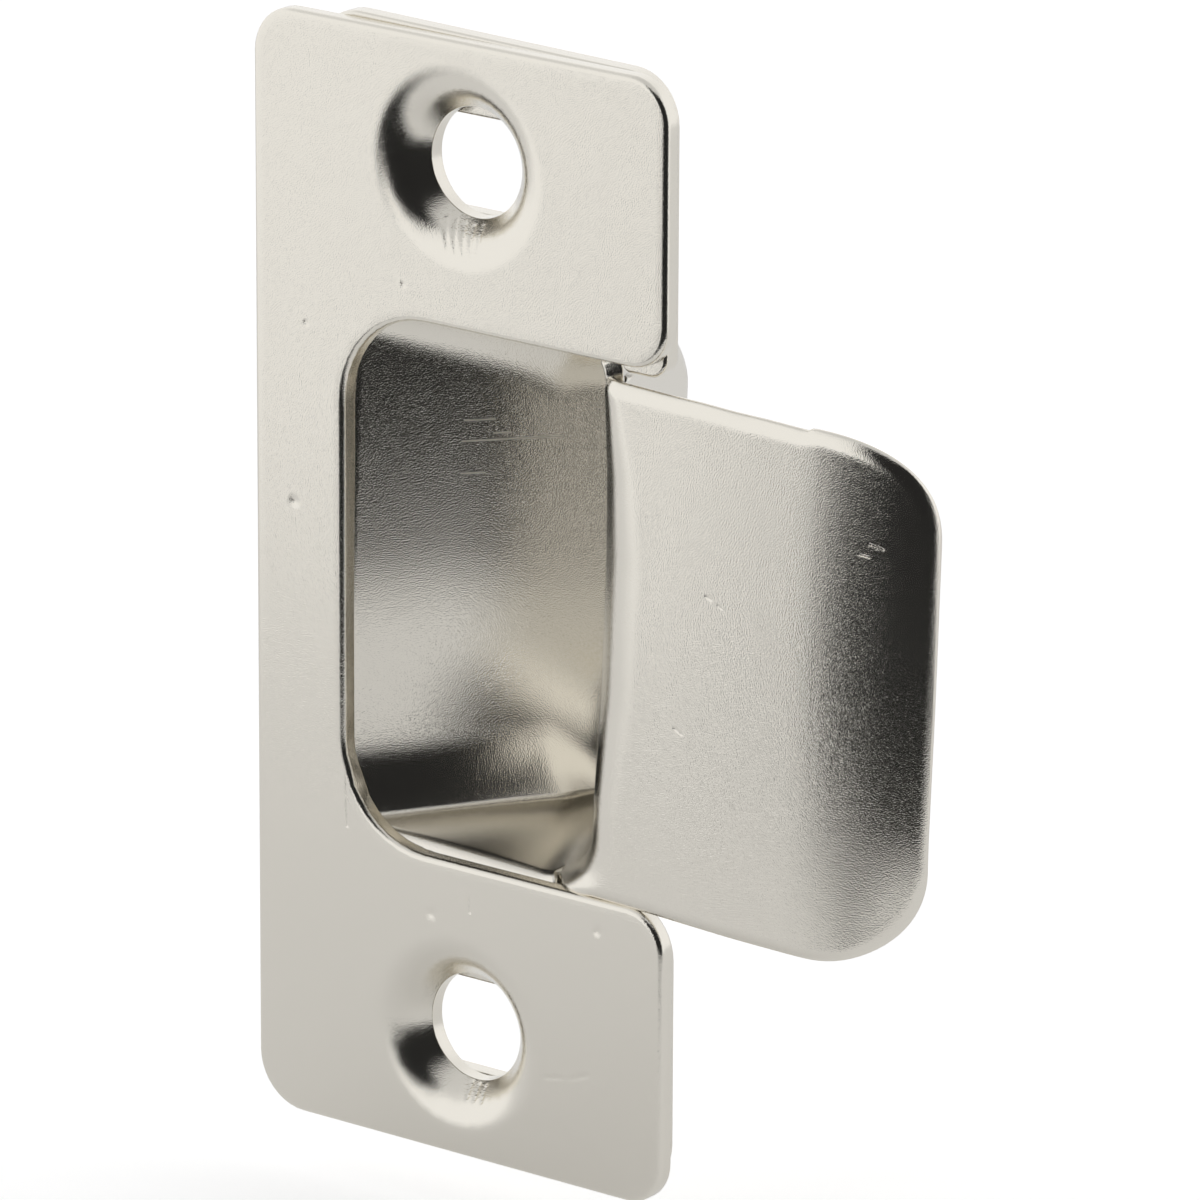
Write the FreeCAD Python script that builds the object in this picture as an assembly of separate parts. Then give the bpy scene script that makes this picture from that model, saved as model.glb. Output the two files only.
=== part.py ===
"""Adjustable door strike: a notched face plate and, behind it, a slotted plate whose drawn pocket
runs forward into a latch lip.

Frame: origin midway between the two screw-hole centres, on the front face.
+X points the way the lip reaches, +Y goes back into the door jamb, +Z is up. Millimetres.
"""
import os
from math import cos, radians, sin, tan

import FreeCAD
import Part

from FreeCAD import Vector

# Face plate
plate_width = 25.4
plate_height = 57.15
plate_sheet = 0.9
plate_corner_radius = 2.4
plate_edge_chamfer = 0.25

# Screw holes, pressed back into dimples for flat-head screws
screw_spacing = 44.45
hole_diameter = 5.44
dimple_depth = 1.65
dimple_slope = 50.0
dimple_shoulder_radius = 2.2
dimple_wall = 0.57

# Latch notch, open on the lip side
notch_web = 5.6
notch_height = 27.4
notch_rise = 0.42
notch_inner_radius = 5.0
notch_ear_radius = 2.3

# Slotted plate behind the face plate
plate_gap = 0.05
back_sheet = 1.0
back_narrowing = 3.9
back_bottom_inset = 0.17
back_top_left_stand = 0.28
back_top_right_inset = 0.07
back_corner_radius = 2.4
back_rest_shift = 1.27

# Slots for the screws, in troughs that the dimples nest in
travel = 2.3
slot_height = 4.8
slot_drop = 0.48
slot_corner_radius = 1.2
trough_ledge = 0.85
trough_end_ledge = 0.43
trough_clearance = 0.2
trough_slope = 45.0
trough_wall = 0.9
trough_floor = 1.0
trough_shoulder_radius = 0.7

# Drawn pocket for the latch bolt, seen from above as a V
pocket_mouth_inset = 0.4
pocket_slope = 49.0
pocket_side_room = 13.6
pocket_return_angle = 15.3
pocket_apex_radius = 1.5
pocket_height = 27.0
pocket_rise = 0.45
pocket_draft = 5.5
pocket_top_radius = 6.5
pocket_bottom_radius = 2.0
pocket_fold_radius = 1.2
pocket_end_overshoot = 0.35  # the end arcs run past the apex, so their folds stay distinct

# Lip, bent out of the pocket's return wall
lip_height = 26.15
lip_rise = 0.14
lip_root_depth = 3.5
lip_bend_radius = 3.6
lip_flat = 13.5
lip_curl_reach = 5.8
lip_curl_angle = 28.0
lip_top_corner_width = 6.6
lip_top_corner_height = 5.1
lip_bottom_corner_width = 5.7
lip_bottom_corner_height = 4.8
lip_lean = 2.0
ear_relief = 0.4
ear_corner_radius = 2.4
ear_corner_share = 0.9  # of the ear's narrowest reach, at most

hole_radius = hole_diameter / 2
half_width = plate_width / 2
half_height = plate_height / 2
back_width = plate_width - back_narrowing
pocket_length = plate_width - pocket_side_room
back_face = plate_sheet + plate_gap
notch_left = -half_width + notch_web
overrun = 5.0
ellipse_steps = 4
touch = 1e-6
parallel_angle = 11.0


def rounded_path(points, radii):
    """Edges along points, with an arc of the given radius at each inner point."""
    edges = []
    start = points[0]
    for before, corner, after, radius in zip(points, points[1:], points[2:], radii):
        toward_before = (before - corner).normalize()
        toward_after = (after - corner).normalize()
        half_angle = toward_before.getAngle(toward_after) / 2
        if radius <= 0:
            edges.append(Part.LineSegment(start, corner).toShape())
            start = corner
            continue
        setback = radius / tan(half_angle)
        arc_start = corner + toward_before * setback
        arc_end = corner + toward_after * setback
        bisector = (toward_before + toward_after).normalize()
        arc_middle = corner + bisector * (radius / sin(half_angle) - radius)
        if (arc_start - start).Length > touch:
            edges.append(Part.LineSegment(start, arc_start).toShape())
        edges.append(Part.Arc(arc_start, arc_middle, arc_end).toShape())
        start = arc_end
    if (points[-1] - start).Length > touch:
        edges.append(Part.LineSegment(start, points[-1]).toShape())
    return edges


def rounded_loop(points, radii):
    """Closed face through points, each corner rounded by its own radius."""
    first_middle = (points[-1] + points[0]) * 0.5
    looped = [first_middle] + points + [first_middle]
    return Part.Face(Part.Wire(rounded_path(looped, radii)))


def rounded_rectangle(half_x, half_z, radius, centre, depth):
    """Rectangle with round corners in a plane of constant Y."""
    signs = [(-1, -1), (1, -1), (1, 1), (-1, 1)]
    points = [Vector(centre.x + sx * half_x, depth, centre.z + sz * half_z) for sx, sz in signs]
    return rounded_loop(points, [radius] * len(points))


def shared_edges(shape, keep):
    """Edges of shape whose middle point passes the test keep."""
    chosen = []
    for edge in shape.Edges:
        middle = edge.valueAt((edge.FirstParameter + edge.LastParameter) / 2)
        if keep(edge, middle):
            chosen.append(edge)
    return chosen


def runs_along(edge, direction):
    """Whether an edge starts off along a direction."""
    return abs(edge.tangentAt(edge.FirstParameter).dot(direction)) > cos(radians(parallel_angle))


def largest_solid(shape):
    """The one solid of a boolean result, with merged faces."""
    return sorted(shape.removeSplitter().Solids, key=lambda solid: solid.Volume)[-1]


def plate_outline():
    """Front outline of the face plate, with its notch open on the right."""
    top_of_notch = notch_rise + notch_height / 2
    bottom_of_notch = notch_rise - notch_height / 2
    corners = [
        (-half_width, -half_height, plate_corner_radius),
        (half_width, -half_height, plate_corner_radius),
        (half_width, bottom_of_notch, notch_ear_radius),
        (notch_left, bottom_of_notch, notch_inner_radius),
        (notch_left, top_of_notch, notch_inner_radius),
        (half_width, top_of_notch, notch_ear_radius),
        (half_width, half_height, plate_corner_radius),
        (-half_width, half_height, plate_corner_radius),
    ]
    points = [Vector(x, 0, z) for x, z, _ in corners]
    return rounded_loop(points, [radius for _, _, radius in corners])


def dimple_profiles():
    """Half sections of a dimple: the hollow in front, and the sheet that is pressed back."""
    slope = radians(dimple_slope)
    shoulder_depth = dimple_shoulder_radius * (1 - cos(slope))
    inner = hole_radius + (dimple_depth - shoulder_depth) / tan(slope)
    outer = inner + dimple_shoulder_radius * sin(slope)
    shoulder_middle = Vector(
        outer - dimple_shoulder_radius * sin(slope / 2), dimple_shoulder_radius * (1 - cos(slope / 2)), 0)
    shoulder = Part.Arc(Vector(outer, 0, 0), shoulder_middle, Vector(inner, shoulder_depth, 0))
    sides = Part.makePolygon([
        Vector(inner, shoulder_depth, 0), Vector(hole_radius, dimple_depth, 0),
        Vector(hole_radius, overrun, 0), Vector(0, overrun, 0), Vector(0, 0, 0), Vector(outer, 0, 0)])
    rim_depth = dimple_depth + dimple_wall / cos(slope)
    foot = hole_radius + (rim_depth - plate_sheet) / tan(slope)
    inside_sheet = plate_sheet / 2
    pressed = Part.makePolygon([
        Vector(0, inside_sheet, 0), Vector(outer, inside_sheet, 0), Vector(outer, plate_sheet, 0),
        Vector(foot, plate_sheet, 0), Vector(hole_radius, rim_depth, 0), Vector(0, rim_depth, 0),
        Vector(0, inside_sheet, 0)])
    return [shoulder.toShape()] + sides.Edges, pressed.Edges


def revolve_about_y(edges, centre):
    """Solid of revolution of a closed profile about the line through centre along Y."""
    face = Part.Face(Part.Wire(edges))
    solid = face.revolve(Vector(0, 0, 0), Vector(0, 1, 0), 360)
    solid.translate(centre)
    return solid


def make_face_plate():
    """Notched plate with softened front edges and two dimpled screw holes."""
    plate = plate_outline().extrude(Vector(0, plate_sheet, 0))
    front_edges = shared_edges(plate, lambda edge, middle: abs(middle.y) < touch)
    plate = plate.makeChamfer(plate_edge_chamfer, front_edges)
    hollow, pressed = dimple_profiles()
    for side in (1, -1):
        centre = Vector(0, 0, side * screw_spacing / 2)
        plate = plate.fuse(revolve_about_y(pressed, centre))
        plate = plate.cut(revolve_about_y(hollow, centre))
    return largest_solid(plate)


def slot_centre(side):
    """Centre of a trough in the slotted plate; side is 1 for the upper one and -1 for the lower."""
    return Vector(back_rest_shift, 0, side * screw_spacing / 2 - slot_drop)


def trough_sizes():
    """Half sizes and corner radius of a trough's floor, and its depth."""
    floor_half_z = hole_radius + slot_drop + trough_end_ledge
    floor_half_x = travel + hole_radius + trough_ledge
    floor_depth = dimple_depth + dimple_wall / cos(radians(dimple_slope)) + trough_clearance
    return floor_half_x, floor_half_z, slot_corner_radius + trough_ledge, floor_depth


def frustum(centre, half_x, half_z, radius, depth, front, grow):
    """Loft from the floor of a trough forward to the plane front, opening at the trough's slope."""
    run = (depth - front) / tan(radians(trough_slope))
    near = rounded_rectangle(half_x + grow + run, half_z + grow + run, radius + grow + run, centre, front)
    far = rounded_rectangle(half_x + grow, half_z + grow, radius + grow, centre, depth)
    return Part.makeLoft([near.OuterWire, far.OuterWire], True, True)


def add_trough(plate, side):
    """Press a trough back out of the plate and pierce its slot."""
    centre = slot_centre(side)
    half_x, half_z, radius, depth = trough_sizes()
    slope = radians(trough_slope)
    outer_grow = trough_wall / sin(slope) - trough_floor / tan(slope)
    inside_sheet = back_face + back_sheet / 2
    boss = frustum(centre, half_x, half_z, radius, depth + trough_floor, inside_sheet, outer_grow)
    hollow = frustum(centre, half_x, half_z, radius, depth, back_face, 0.0)
    plate = plate.fuse(boss).cut(hollow)
    run = (depth - back_face) / tan(slope) + touch
    rim = shared_edges(plate, lambda edge, middle: abs(middle.y - back_face) < touch
                       and abs(middle.z - centre.z) <= half_z + run
                       and abs(middle.x - centre.x) <= half_x + run)
    plate = plate.makeFillet(trough_shoulder_radius, rim)
    slot = rounded_rectangle(travel + hole_radius, slot_height / 2, slot_corner_radius, centre, back_face)
    return plate.cut(slot.extrude(Vector(0, overrun, 0)))


def back_outline():
    """Blank of the slotted plate, right of the pocket still closed."""
    left = back_rest_shift - back_width / 2
    right = back_rest_shift + back_width / 2
    bottom = back_bottom_inset - half_height
    corners = [(left, bottom), (right, bottom), (right, half_height - back_top_right_inset),
               (left, half_height + back_top_left_stand)]
    points = [Vector(x, back_face, z) for x, z in corners]
    return rounded_loop(points, [back_corner_radius] * len(points))


def pocket_plan(grow):
    """Corner points of the pocket seen from above, grown outward by grow."""
    slope = radians(pocket_slope)
    lean_back = radians(pocket_return_angle)
    mouth = Vector(notch_left - pocket_mouth_inset, back_face, 0)
    apex = mouth + Vector(pocket_length, pocket_length * tan(slope), 0)
    slant_out = Vector(-sin(slope), cos(slope), 0)
    return_out = Vector(cos(lean_back), sin(lean_back), 0)
    along_slant = Vector(cos(slope), sin(slope), 0)
    along_return = Vector(sin(lean_back), -cos(lean_back), 0)
    turn = along_slant.x * along_return.y - along_slant.y * along_return.x
    offset_gap = (return_out - slant_out) * grow
    reach = (offset_gap.x * along_return.y - offset_gap.y * along_return.x) / turn
    grown_apex = apex + slant_out * grow + along_slant * reach
    front_left = grown_apex - along_slant * (grown_apex.y / along_slant.y)
    front_right = grown_apex + along_return * (grown_apex.y / -along_return.y)
    return front_left, grown_apex, front_right


def pocket_depth(grow):
    """Depth of the pocket's rounded apex, grown outward by grow."""
    front_left, apex, front_right = pocket_plan(0.0)
    toward_left = (front_left - apex).normalize()
    toward_right = (front_right - apex).normalize()
    half_angle = toward_left.getAngle(toward_right) / 2
    bisector = (toward_left + toward_right).normalize()
    centre = apex + bisector * (pocket_apex_radius / sin(half_angle))
    return centre.y + pocket_apex_radius + grow


def pocket_form(grow):
    """Closed form of the pocket: the V in plan, its ends drafted and rounded into the apex."""
    front_left, apex, front_right = pocket_plan(grow)
    half = pocket_height / 2 + grow
    narrowed = half - tan(radians(pocket_draft)) * apex.y
    depth = pocket_depth(grow) + pocket_end_overshoot
    section = rounded_path([front_left, apex, front_right], [pocket_apex_radius + grow])
    section.append(Part.LineSegment(front_right, front_left).toShape())
    prism = Part.Face(Part.Wire(section))
    prism.translate(Vector(0, 0, -half))
    form = prism.extrude(Vector(0, 0, 2 * half))
    end_profile = rounded_path(
        [Vector(0, 0, -half), Vector(0, depth, -narrowed), Vector(0, depth, narrowed), Vector(0, 0, half)],
        [pocket_bottom_radius + grow, pocket_top_radius + grow])
    end_profile.append(Part.LineSegment(Vector(0, 0, half), Vector(0, 0, -half)).toShape())
    keeper = Part.Face(Part.Wire(end_profile))
    keeper.translate(Vector(front_left.x - overrun, 0, 0))
    form = form.common(keeper.extrude(Vector(front_right.x - front_left.x + 2 * overrun, 0, 0)))
    folds = shared_edges(form, lambda edge, middle: abs(middle.z) > half - pocket_top_radius - grow
                         and middle.y > touch and not runs_along(edge, Vector(0, 0, 1)))
    form = form.makeFillet(pocket_fold_radius + grow, folds)
    form.translate(Vector(0, 0, pocket_rise))
    return form


def lip_path(setback):
    """Plan path from the return wall round the bend to the free end, setback behind the front face."""
    _, apex, front_right = pocket_plan(0.0)
    wall = radians(pocket_return_angle)
    along_return = (front_right - apex).normalize()
    bend_corner = front_right + Vector(setback * (1 - sin(wall)) / cos(wall), setback, 0)
    wall_start = bend_corner - along_return * ((lip_root_depth - setback) / cos(wall))
    curl = radians(lip_curl_angle)
    curl_radius = lip_curl_reach / sin(curl)
    curl_centre = Vector(front_right.x + lip_flat, curl_radius, 0)
    radius = curl_radius - setback
    curl_start = curl_centre + Vector(0, -radius, 0)
    curl_middle = curl_centre + Vector(radius * sin(curl / 2), -radius * cos(curl / 2), 0)
    tip = curl_centre + Vector(radius * sin(curl), -radius * cos(curl), 0)
    edges = rounded_path([wall_start, bend_corner, curl_start], [lip_bend_radius - setback])
    edges.append(Part.Arc(curl_start, curl_middle, tip).toShape())
    return edges, wall_start, tip


def lip_outline(tip):
    """Front outline of the lip, whose free corners are quarter ellipses."""
    bottom = lip_rise - lip_height / 2
    top = lip_rise + lip_height / 2
    quarters = []
    for side, edge_z, width, height in (
            (-1, bottom, lip_bottom_corner_width, lip_bottom_corner_height),
            (1, top, lip_top_corner_width, lip_top_corner_height)):
        centre = Vector(tip - width, -overrun, edge_z - side * height)
        along = [centre + Vector(width * sin(angle), 0, side * height * cos(angle))
                 for angle in (radians(90 * step / ellipse_steps) for step in range(ellipse_steps + 1))]
        curve = Part.BSplineCurve()
        curve.interpolate(along, InitialTangent=Vector(1, 0, 0), FinalTangent=Vector(0, 0, -side))
        quarters.append(curve)
    low, high = quarters
    start = Vector(-half_width, -overrun, bottom)
    finish = Vector(-half_width, -overrun, top)
    edges = [Part.LineSegment(start, low.StartPoint), low, Part.LineSegment(low.EndPoint, high.EndPoint),
             high, Part.LineSegment(high.StartPoint, finish), Part.LineSegment(finish, start)]
    return Part.Face(Part.Wire(Part.__sortEdges__([edge.toShape() for edge in edges])))


def make_lip():
    """The bent sheet from the return wall to the free end, with its two round corners."""
    front, front_start, front_tip = lip_path(0.0)
    back, back_start, back_tip = lip_path(back_sheet)
    ends = [
        Part.LineSegment(front_start, back_start).toShape(),
        Part.LineSegment(front_tip, back_tip).toShape(),
    ]
    section = Part.Face(Part.Wire(Part.__sortEdges__(front + back + ends)))
    section.translate(Vector(0, 0, lip_rise - lip_height / 2))
    sheet = section.extrude(Vector(0, 0, lip_height))
    return sheet.common(lip_outline(front_tip.x).extrude(Vector(0, 4 * overrun, 0)))


def make_lip_plate():
    """Slotted plate, pocket and lip, stamped from one sheet."""
    plate = back_outline().extrude(Vector(0, back_sheet, 0))
    plate = add_trough(plate, 1)
    plate = add_trough(plate, -1)
    _, _, front_right = pocket_plan(0.0)
    outer = pocket_form(back_sheet)
    inner = pocket_form(0.0)
    lip = make_lip()
    window_height = lip_height + 2 * ear_relief
    window = Part.makeBox(
        plate_width, back_sheet + 2 * overrun, window_height,
        Vector(front_right.x, -overrun, lip_rise - window_height / 2))
    ahead = Part.makeBox(
        2 * plate_width, overrun, plate_height, Vector(-plate_width, back_face - overrun, -half_height))
    for shape in (outer, inner, lip, window):
        shape.rotate(Vector(front_right.x, 0, 0), Vector(0, 1, 0), lip_lean)
    plate = plate.cut(window)
    right = back_rest_shift + back_width / 2
    ears = shared_edges(plate, lambda edge, middle: abs(middle.z) < notch_height
                        and abs(middle.x - right) < touch and runs_along(edge, Vector(0, 1, 0)))
    ear_reach = right - front_right.x - sin(radians(lip_lean)) * window_height / 2
    plate = plate.makeFillet(min(ear_corner_radius, ear_corner_share * ear_reach), ears)
    body = plate.fuse(outer.cut(ahead))
    body = body.cut(inner).fuse(lip.cut(inner))
    return largest_solid(body)


def save(shape, name):
    """Write one node and print its size."""
    box = shape.BoundBox
    print("%s solids=%d valid=%s volume=%.1f box=(%.2f %.2f %.2f) to (%.2f %.2f %.2f)" % (
        name, len(shape.Solids), shape.isValid(), shape.Volume,
        box.XMin, box.YMin, box.ZMin, box.XMax, box.YMax, box.ZMax))
    shape.exportStep("parts/%s.step" % name)


os.makedirs("parts", exist_ok=True)
save(make_face_plate(), "face_plate")
save(make_lip_plate(), "lip_plate")
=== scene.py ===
"""Looks of an adjustable door strike: two stamped, satin-nickel sheets in a plain studio.

The face plate and the lip plate stand for their CAD nodes as finely meshed sheet metal. Each sheet is
its front skin, given a thickness and a rim whose front edge is rolled and whose back edge is sheared.
"""
import logging
from dataclasses import dataclass, field
from enum import Enum
from math import cos, pi, radians, sin, tan
from typing import Callable, Sequence

import bpy
import numpy as np
from mathutils import Matrix, Vector
from mathutils.geometry import delaunay_2d_cdt


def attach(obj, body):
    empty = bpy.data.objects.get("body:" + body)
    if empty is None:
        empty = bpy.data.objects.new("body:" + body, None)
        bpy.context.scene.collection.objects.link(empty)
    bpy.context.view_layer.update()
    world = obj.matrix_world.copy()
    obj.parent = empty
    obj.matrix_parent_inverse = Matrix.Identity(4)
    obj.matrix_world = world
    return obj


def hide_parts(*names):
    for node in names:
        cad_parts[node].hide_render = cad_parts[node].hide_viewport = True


log = logging.getLogger("strike")
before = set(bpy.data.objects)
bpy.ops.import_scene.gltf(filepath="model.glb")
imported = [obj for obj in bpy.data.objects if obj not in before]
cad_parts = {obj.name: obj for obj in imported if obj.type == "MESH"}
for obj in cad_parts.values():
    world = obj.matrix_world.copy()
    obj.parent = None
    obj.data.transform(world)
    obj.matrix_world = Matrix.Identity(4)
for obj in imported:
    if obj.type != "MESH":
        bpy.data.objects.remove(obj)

MM = 0.001
BACKWARD = np.array([0.0, 1.0, 0.0])


class Body(Enum):
    """The bodies that the pieces ride on."""

    FACE = "face"
    LIP = "lip"


# Plane outlines

@dataclass(frozen=True)
class Corner:
    """One corner of an outline in the X-Z plane, with the radius that rounds it."""

    x: float
    z: float
    radius: float = 0.0


def rounded_outline(corners: Sequence[Corner], step: float, arc_step: float = 9.0) -> np.ndarray:
    """Sample a closed outline with rounded corners.

    Args:
        corners: The corners, counter-clockwise seen from the front.
        step: Largest spacing along straight stretches, in mm.
        arc_step: Largest turn between two samples of an arc, in degrees.

    Returns:
        An array of (x, z) rows, with no row repeated.
    """
    pieces = []
    count = len(corners)
    ends = []
    for index, corner in enumerate(corners):
        here = np.array([corner.x, corner.z])
        before = np.array([corners[index - 1].x, corners[index - 1].z])
        after = np.array([corners[(index + 1) % count].x, corners[(index + 1) % count].z])
        toward_before = (before - here) / np.linalg.norm(before - here)
        toward_after = (after - here) / np.linalg.norm(after - here)
        half = 0.5 * np.arccos(np.clip(toward_before @ toward_after, -1.0, 1.0))
        if corner.radius <= 0.0:
            ends.append((here, here, np.array([here])))
            continue
        setback = corner.radius / tan(half)
        start = here + toward_before * setback
        end = here + toward_after * setback
        bisector = (toward_before + toward_after) / np.linalg.norm(toward_before + toward_after)
        centre = here + bisector * (corner.radius / sin(half))
        turn = pi - 2.0 * half
        samples = max(2, int(np.ceil(turn / radians(arc_step))))
        from_angle = np.arctan2(*(start - centre)[::-1])
        side = np.sign(toward_after[1] * toward_before[0] - toward_after[0] * toward_before[1])
        angles = from_angle - side * np.linspace(0.0, turn, samples + 1)
        arc = centre + corner.radius * np.stack([np.cos(angles), np.sin(angles)], axis=1)
        ends.append((start, end, arc))
    for index, (_, end, arc) in enumerate(ends):
        pieces.append(arc)
        next_start = ends[(index + 1) % count][0]
        samples = max(1, int(np.ceil(np.linalg.norm(next_start - end) / step)))
        line = end + (next_start - end) * np.linspace(0.0, 1.0, samples + 1)[:, None]
        pieces.append(line[1:-1])
    return np.concatenate([piece for piece in pieces if len(piece)])


def inset_loop(loop: np.ndarray, distance: float) -> np.ndarray:
    """Move a counter-clockwise loop inward by distance; a negative distance moves it outward."""
    tangent = np.roll(loop, -1, axis=0) - np.roll(loop, 1, axis=0)
    tangent /= np.linalg.norm(tangent, axis=1)[:, None]
    inward = np.stack([-tangent[:, 1], tangent[:, 0]], axis=1)
    return loop + inward * distance


def circle(x: float, z: float, radius: float, samples: int) -> np.ndarray:
    """Sample a circle counter-clockwise."""
    angles = np.linspace(0.0, 2.0 * pi, samples, endpoint=False)
    return np.stack([x + radius * np.cos(angles), z + radius * np.sin(angles)], axis=1)


def inside(points: np.ndarray, loop: np.ndarray) -> np.ndarray:
    """Tell which points lie inside a closed loop."""
    x = points[:, 0][:, None]
    z = points[:, 1][:, None]
    x0 = loop[:, 0][None]
    z0 = loop[:, 1][None]
    x1 = np.roll(loop[:, 0], -1)[None]
    z1 = np.roll(loop[:, 1], -1)[None]
    spans = (z0 > z) != (z1 > z)
    rise = np.where(z1 == z0, 1.0, z1 - z0)
    crossing = spans & (x < (x1 - x0) * (z - z0) / rise + x0)
    return (crossing.sum(axis=1) % 2).astype(bool)


def distance_to_points(points: np.ndarray, others: np.ndarray) -> np.ndarray:
    """Distance from each point to the nearest of the others."""
    result = np.full(len(points), np.inf)
    for start in range(0, len(others), 256):
        block = others[start:start + 256]
        gaps = np.linalg.norm(points[:, None, :] - block[None], axis=2)
        result = np.minimum(result, gaps.min(axis=1))
    return result


def triangle_grid(low: Sequence[float], high: Sequence[float], pitch: float) -> np.ndarray:
    """Points of a triangular grid that covers a rectangle."""
    rows = []
    row_pitch = pitch * sin(pi / 3.0)
    for number, z in enumerate(np.arange(low[1], high[1], row_pitch)):
        shift = 0.5 * pitch * (number % 2)
        x = np.arange(low[0] + shift, high[0], pitch)
        rows.append(np.stack([x, np.full_like(x, z)], axis=1))
    return np.concatenate(rows)


def triangulate(outer: np.ndarray, holes: Sequence[np.ndarray], rings: Sequence[np.ndarray], pitch: float,
                loose: np.ndarray | None = None) -> tuple[np.ndarray, np.ndarray]:
    """Fill an outline with triangles that follow its holes and the rings given.

    Args:
        outer: Counter-clockwise boundary.
        holes: Loops left open.
        rings: Extra loops whose points are kept, for places where the skin bends.
        pitch: Spacing of the grid that fills the rest, in mm.
        loose: Extra points that are kept, for fine detail.

    Returns:
        The (x, z) points and the triangles, counter-clockwise.
    """
    loops = [outer, *holes]
    fixed = np.concatenate([*loops, *rings])
    if loose is not None and len(loose):
        loose = loose[inside(loose, outer) & (distance_to_points(loose, fixed) > 0.05)]
        fixed = np.concatenate([fixed, loose])
    grid = triangle_grid(outer.min(axis=0), outer.max(axis=0), pitch)
    keep = inside(grid, outer)
    for hole in holes:
        keep &= ~inside(grid, hole)
    grid = grid[keep]
    grid = grid[distance_to_points(grid, fixed) > 0.62 * pitch]
    points = np.concatenate([fixed, grid])
    edges = []
    start = 0
    for loop in [*loops, *rings]:
        size = len(loop)
        edges += [(start + i, start + (i + 1) % size) for i in range(size)]
        start += size
    found = delaunay_2d_cdt([Vector(p) for p in points], edges, [], 0, 1e-6)
    flat = np.array([points[origin[0]] if len(origin) else tuple(place)
                     for place, origin in zip(found[0], found[3])])
    triangles = np.array([face for face in found[2] if len(face) == 3])
    middle = flat[triangles].mean(axis=1)
    keep = inside(middle, outer)
    for hole in holes:
        keep &= ~inside(middle, hole)
    triangles = triangles[keep]
    a, b, c = (flat[triangles[:, k]] for k in range(3))
    area = (b[:, 0] - a[:, 0]) * (c[:, 1] - a[:, 1]) - (b[:, 1] - a[:, 1]) * (c[:, 0] - a[:, 0])
    triangles[area < 0] = triangles[area < 0][:, ::-1]
    return flat, triangles[np.abs(area) > 1e-9]


# Wear

@dataclass(frozen=True)
class Mark:
    """A dent or scratch in a face: a groove from one (x, z) to another, or a pit when they are equal."""

    start: tuple[float, float]
    end: tuple[float, float]
    width: float
    depth: float

    def distance(self, flat: np.ndarray) -> np.ndarray:
        """Distance of points from the mark's line."""
        start = np.array(self.start)
        along = np.array(self.end) - start
        share = ((flat - start) @ along) / max(float(along @ along), 1e-9)
        nearest = start + np.clip(share, 0.0, 1.0)[:, None] * along
        return np.linalg.norm(flat - nearest, axis=1)

    def depth_at(self, flat: np.ndarray) -> np.ndarray:
        """Depth pressed in at points, with a low burr thrown up round it."""
        share = self.distance(flat) / self.width
        return self.depth * (1.0 - 0.6 * share ** 2) * np.exp(-share ** 2)

    def points(self) -> np.ndarray:
        """Points that the mesh needs to show the mark."""
        reach = 2.0 * self.width
        spacing = 0.45 * self.width
        low = np.minimum(self.start, self.end) - reach
        high = np.maximum(self.start, self.end) + reach
        grid = triangle_grid(low, high, spacing)
        return grid[self.distance(grid) < reach]


def marked(marks: Sequence[Mark], flat: np.ndarray) -> np.ndarray:
    """Depth of all the marks at points."""
    return sum((mark.depth_at(flat) for mark in marks), np.zeros(len(flat)))


FACE_MARKS = (
    Mark((-10.19, 3.54), (-10.19, 3.54), 0.3, 0.05),
    Mark((-1.53, -16.2), (-1.6, -16.2), 0.3, 0.05),
    Mark((8.74, -14.9), (8.74, -14.9), 0.26, 0.05),
    Mark((5.6, -23.2), (6.6, -23.0), 0.16, 0.015),
    Mark((7.2, -22.9), (8.2, -22.5), 0.18, 0.018),
    Mark((-3.34, 15.9), (-3.3, 15.8), 0.14, 0.02),
    Mark((-9.44, 12.9), (-9.4, 12.8), 0.14, 0.02),
    Mark((0.83, -14.8), (0.86, -15.6), 0.1, 0.02),
    Mark((-6.95, -10.2), (-6.9, -12.7), 0.12, 0.02),
    Mark((-1.45, 19.3), (-0.75, 18.1), 0.13, 0.035),
    Mark((-0.95, 19.2), (-0.25, 18.0), 0.13, 0.045),
    Mark((-0.4, 19.1), (0.25, 17.95), 0.13, 0.045),
    Mark((0.15, 19.1), (0.75, 17.95), 0.13, 0.04),
    Mark((0.7, 19.2), (1.2, 18.1), 0.13, 0.03),
    Mark((-0.1, -25.2), (0.1, -25.75), 0.12, 0.05),
    Mark((0.4, -25.2), (0.6, -25.75), 0.12, 0.05),
    Mark((0.9, -25.15), (1.1, -25.7), 0.12, 0.05))

LIP_MARKS = (
    Mark((15.1, 3.8), (15.35, 3.7), 0.1, 0.02),
    Mark((15.8, 3.5), (16.0, 3.4), 0.08, 0.015),
    Mark((13.5, -3.3), (13.9, -3.5), 0.1, 0.02),
    Mark((24.2, 8.4), (24.9, 8.25), 0.1, 0.015),
    Mark((23.7, 7.8), (24.2, 7.75), 0.08, 0.012))


POCKET_SCRATCHES = ((-3.06, 7.7, 0.52), (-2.34, 6.97, 0.3), (-2.0, 6.63, 1.69), (-3.35, 4.96, 0.39))


# Sheet metal

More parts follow.
